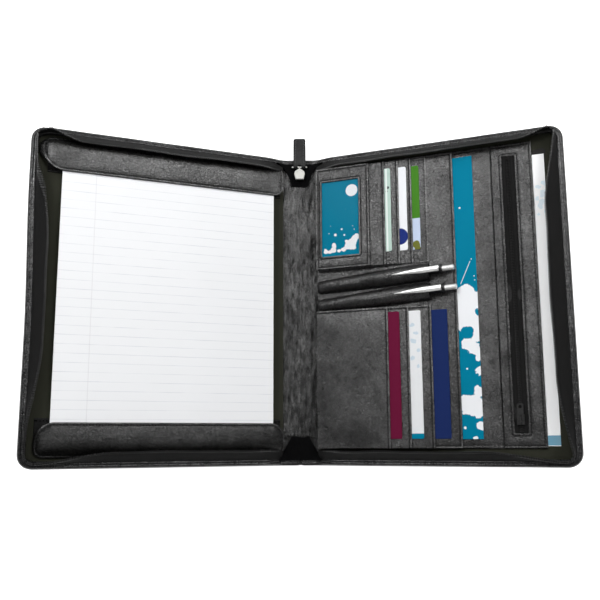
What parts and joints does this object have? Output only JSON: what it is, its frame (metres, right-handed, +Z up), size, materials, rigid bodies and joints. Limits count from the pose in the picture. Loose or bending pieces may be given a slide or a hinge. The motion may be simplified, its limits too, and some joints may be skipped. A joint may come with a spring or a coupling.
{
  "type": "portfolio case",
  "caption": "Zip-around padded leather portfolio case, open on its spine, with a writing pad held by two flaps and an organiser with pockets, card slots, pens and a document pocket.",
  "frame": {"origin": "middle of the spine's flat underside, on the surface that the case rests on", "axes": "+X across the spine towards the organiser cover, +Y along the spine towards the zip slider, +Z up from the surface"},
  "size_m": [0.5108, 0.3468, 0.1075],
  "materials": {
    "black_leather": "semi-gloss grained black leather",
    "leather_panel": "semi-gloss grained black leather, inside panels",
    "leather_binding": "glossy rolled black leather",
    "lining_cloth": "matt olive-black lining cloth",
    "zip_cloth": "matt black woven zip tape",
    "zip_teeth": "black nylon coil",
    "foam": "grey foam sheet",
    "stiffener": "grey-brown board",
    "bright_metal": "polished",
    "black_metal": "satin black enamel",
    "pen_black": "glossy black",
    "pen_silver": "satin silver",
    "pad_paper": "white ruled paper",
    "grey_card": "grey card",
    "printed_paper": "coated paper, printed",
    "printed_card": "glossy printed card",
    "maroon_cover": "satin maroon cover",
    "white_cover": "satin white cover",
    "navy_cover": "satin navy cover",
    "clear_film": "clear film"
  },
  "bodies": {
    "spine": {"spine_outer_leather": "black_leather", "spine_board": "stiffener", "spine_lining": "leather_panel", "zip_end_top": "zip_cloth", "zip_end_bottom": "zip_cloth", "main_zip_slider": "bright_metal"},
    "zip_pull": {"zip_pull_bar": "bright_metal", "zip_pull_tab": "black_leather"},
    "left_cover": {"left_outer_leather": "black_leather", "left_foam": "foam", "left_board": "stiffener", "left_lining": "lining_cloth", "left_edge_binding": "leather_binding", "left_zip_tape": "zip_cloth", "left_zip_coil": "zip_teeth", "pad_retainer_bands": "leather_panel", "pad_retainer_top": "leather_panel", "pad_retainer_bottom": "leather_panel", "pad_backing_card": "grey_card", "writing_pad": "pad_paper"},
    "right_cover": {"right_outer_leather": "black_leather", "right_foam": "foam", "right_board": "stiffener", "right_lining": "lining_cloth", "right_edge_binding": "leather_binding", "right_zip_tape": "zip_cloth", "right_zip_coil": "zip_teeth", "document_pocket_panel": "leather_panel", "pocket_zip_tape": "zip_cloth", "pocket_zip_coil": "zip_teeth", "zip_pocket_pouch": "lining_cloth", "letterhead": "printed_paper", "brochure": "printed_paper", "organizer_panel": "leather_panel", "card_slot_1": "leather_panel", "card_slot_2": "leather_panel", "card_slot_3": "leather_panel", "id_card": "printed_card", "id_window_film": "clear_film", "id_window_frame": "leather_panel", "pocket_front": "leather_panel", "pocket_middle": "leather_panel", "pocket_rear": "leather_panel", "pen_sleeve_1": "leather_panel", "pen_sleeve_2": "leather_panel"},
    "pocket_slider": {"pocket_zip_slider": "black_metal"},
    "pocket_puller": {"pocket_zip_puller": "black_metal"},
    "pen_1": {"pen_1_barrel": "pen_black", "pen_1_clip": "pen_silver"},
    "pen_1_push_button": {"pen_1_button": "pen_silver"},
    "pen_2": {"pen_2_barrel": "pen_black", "pen_2_clip": "pen_silver"},
    "pen_2_push_button": {"pen_2_button": "pen_silver"},
    "card_1": {"card_1": "printed_card"},
    "card_2": {"card_2": "printed_card"},
    "card_3": {"card_3": "printed_card"},
    "booklet_red": {"booklet_red": "maroon_cover"},
    "booklet_white": {"booklet_white": "white_cover"},
    "booklet_blue": {"booklet_blue": "navy_cover"}
  },
  "joints": [
    {"name": "left_cover_fold", "type": "hinge", "parent": "spine", "child": "left_cover", "pos_m": [-0.018, 0, 0], "axis": [0, 1, 0], "range_deg": [-22, 68]},
    {"name": "right_cover_fold", "type": "hinge", "parent": "spine", "child": "right_cover", "pos_m": [0.018, 0, 0], "axis": [0, -1, 0], "range_deg": [-22, 68]},
    {"name": "zip_pull_swing", "type": "hinge", "parent": "spine", "child": "zip_pull", "pos_m": [0, 0.152, 0.0102], "axis": [1, 0, 0], "range_deg": [-30, 50]},
    {"name": "pocket_slider_travel", "type": "slide", "parent": "right_cover", "child": "pocket_slider", "axis": [0, 1, 0], "range_m": [0, 0.238]},
    {"name": "pocket_puller_swing", "type": "hinge", "parent": "pocket_slider", "child": "pocket_puller", "pos_m": [0.20344, -0.11925, 0.08479], "axis": [0.9272, 0, 0.3746], "range_deg": [0, 170]},
    {"name": "pen_1_draw", "type": "slide", "parent": "right_cover", "child": "pen_1", "axis": [0.9251, 0.0663, 0.3738], "range_m": [0, 0.075]},
    {"name": "pen_1_click", "type": "slide", "parent": "pen_1", "child": "pen_1_push_button", "axis": [-0.9251, -0.0663, -0.3738], "range_m": [0, 0.004], "stiffness_N_per_m": 500},
    {"name": "pen_2_draw", "type": "slide", "parent": "right_cover", "child": "pen_2", "axis": [0.9251, 0.0663, 0.3738], "range_m": [0, 0.075]},
    {"name": "pen_2_click", "type": "slide", "parent": "pen_2", "child": "pen_2_push_button", "axis": [-0.9251, -0.0663, -0.3738], "range_m": [0, 0.004], "stiffness_N_per_m": 500},
    {"name": "card_1_draw", "type": "slide", "parent": "right_cover", "child": "card_1", "axis": [0.9272, 0, 0.3746], "range_m": [0, 0.04]},
    {"name": "card_2_draw", "type": "slide", "parent": "right_cover", "child": "card_2", "axis": [0.9272, 0, 0.3746], "range_m": [0, 0.04]},
    {"name": "card_3_draw", "type": "slide", "parent": "right_cover", "child": "card_3", "axis": [0.9272, 0, 0.3746], "range_m": [0, 0.04]},
    {"name": "booklet_red_draw", "type": "slide", "parent": "right_cover", "child": "booklet_red", "axis": [0.9272, 0, 0.3746], "range_m": [0, 0.055]},
    {"name": "booklet_white_draw", "type": "slide", "parent": "right_cover", "child": "booklet_white", "axis": [0.9272, 0, 0.3746], "range_m": [0, 0.055]},
    {"name": "booklet_blue_draw", "type": "slide", "parent": "right_cover", "child": "booklet_blue", "axis": [0.9272, 0, 0.3746], "range_m": [0, 0.055]}
  ]
}
